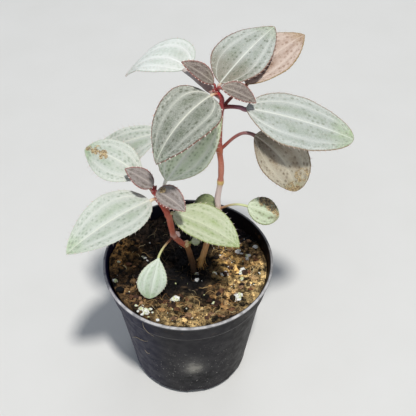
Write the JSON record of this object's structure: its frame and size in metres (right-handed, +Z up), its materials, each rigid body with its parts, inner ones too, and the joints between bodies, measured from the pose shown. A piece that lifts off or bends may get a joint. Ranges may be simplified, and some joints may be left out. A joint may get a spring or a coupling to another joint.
{
  "type": "potted foliage plant",
  "caption": "Small potted foliage plant: two jointed red stems with paired, silvery, three-veined bristle-edged leaves, in a round tapered nursery pot of peat soil and perlite.",
  "frame": {"origin": "centre of the pot's flat foot, on the surface it stands on", "axes": "+Z up along the pot's axis; -Y is the side that the picture shows, +X to its right"},
  "size_m": [0.1314, 0.09, 0.2016],
  "materials": {
    "pot_plastic": "thin satin charcoal plastic, faintly scratched, pale worn rim",
    "soil": "moist brown peat with fibres and bark crumbs",
    "perlite": "rough porous off-white grains",
    "stem": "brick-red jointed stem with tan and orange patches",
    "leaf_mature": "silvery grey-green with pale veins, dark pits in rows and a red-brown bristly margin",
    "leaf_young": "mauve-brown young leaf with pale veins and a pink-red bristly margin",
    "leaf_dark": "dark olive, glossy, hairy small leaf"
  },
  "bodies": {
    "root": {"pot": "pot_plastic", "soil": "soil", "perlite_01": "perlite", "perlite_02": "perlite", "perlite_03": "perlite", "perlite_04": "perlite", "perlite_05": "perlite", "perlite_06": "perlite", "perlite_07": "perlite", "perlite_08": "perlite", "perlite_09": "perlite", "perlite_10": "perlite", "perlite_11": "perlite", "perlite_12": "perlite", "tall_stem": "stem", "short_stem": "stem", "tall_leaf_left": "leaf_mature", "tall_leaf_back": "leaf_mature", "tall_leaf_far": "leaf_young", "tall_leaf_front": "leaf_mature", "tall_leaf_right": "leaf_mature", "tall_leaf_low_right": "leaf_young", "tall_leaf_low_left": "leaf_mature", "tall_young_leaf_left": "leaf_young", "tall_young_leaf_right": "leaf_young", "tall_small_leaf_left": "leaf_dark", "tall_small_leaf_right": "leaf_dark", "short_leaf_back": "leaf_mature", "short_leaf_upper_left": "leaf_mature", "short_leaf_left": "leaf_mature", "short_leaf_right": "leaf_mature", "short_young_leaf_left": "leaf_young", "short_young_leaf_right": "leaf_young", "short_low_leaf": "leaf_mature", "short_sprout_leaf": "leaf_mature"}
  },
  "joints": []
}
